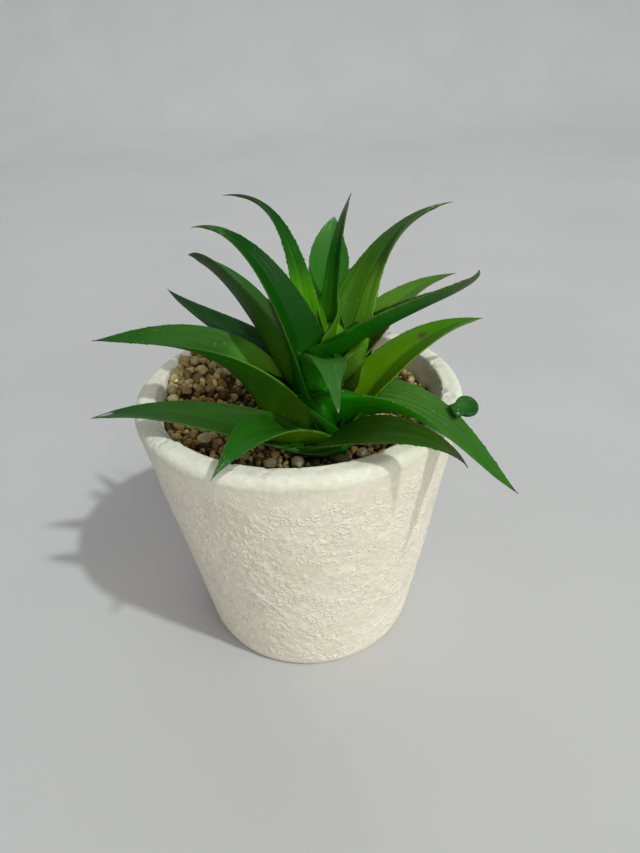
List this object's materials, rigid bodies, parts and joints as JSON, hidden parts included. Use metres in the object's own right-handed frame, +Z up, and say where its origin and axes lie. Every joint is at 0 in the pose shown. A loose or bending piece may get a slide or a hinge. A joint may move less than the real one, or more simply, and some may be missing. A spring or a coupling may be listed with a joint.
{
  "type": "potted haworthia",
  "caption": "Small potted haworthia: a rosette of long tapering toothed leaves on a short stem, set in gravel in a tapered textured cement pot.",
  "frame": {"origin": "centre of the pot's flat underside", "axes": "+Z up along the pot's axis, -Y towards the front, from where the plant is seen in the picture, +X to the right"},
  "size_m": [0.0925, 0.0839, 0.1157],
  "materials": {
    "pot_cement": "matte",
    "plug_foam": "matte",
    "gravel": "satin",
    "pebble": "satin",
    "stem_plastic": "satin",
    "leaf_plastic": "satin"
  },
  "bodies": {
    "root": {"pot": "pot_cement", "potting_plug": "plug_foam", "gravel_bed": "gravel", "pebble_1": "pebble", "pebble_2": "pebble", "pebble_3": "pebble", "pebble_4": "pebble", "pebble_5": "pebble", "pebble_6": "pebble", "pebble_7": "pebble", "pebble_8": "pebble", "stem": "stem_plastic", "leaf_upper_left_tall": "leaf_plastic", "leaf_left_large": "leaf_plastic", "leaf_left_mid": "leaf_plastic", "leaf_left_back": "leaf_plastic", "leaf_left_long": "leaf_plastic", "leaf_left_low": "leaf_plastic", "leaf_front_left": "leaf_plastic", "leaf_front_centre": "leaf_plastic", "leaf_right_long": "leaf_plastic", "leaf_right_low": "leaf_plastic", "leaf_right_broad": "leaf_plastic", "leaf_right_upcurved": "leaf_plastic", "leaf_right_back": "leaf_plastic", "leaf_upper_right": "leaf_plastic", "leaf_centre_narrow": "leaf_plastic", "leaf_centre_broad": "leaf_plastic", "leaf_rear_left": "leaf_plastic", "leaf_rear_middle": "leaf_plastic", "leaf_rear_right": "leaf_plastic", "leaf_rear_upper": "leaf_plastic"}
  },
  "joints": []
}
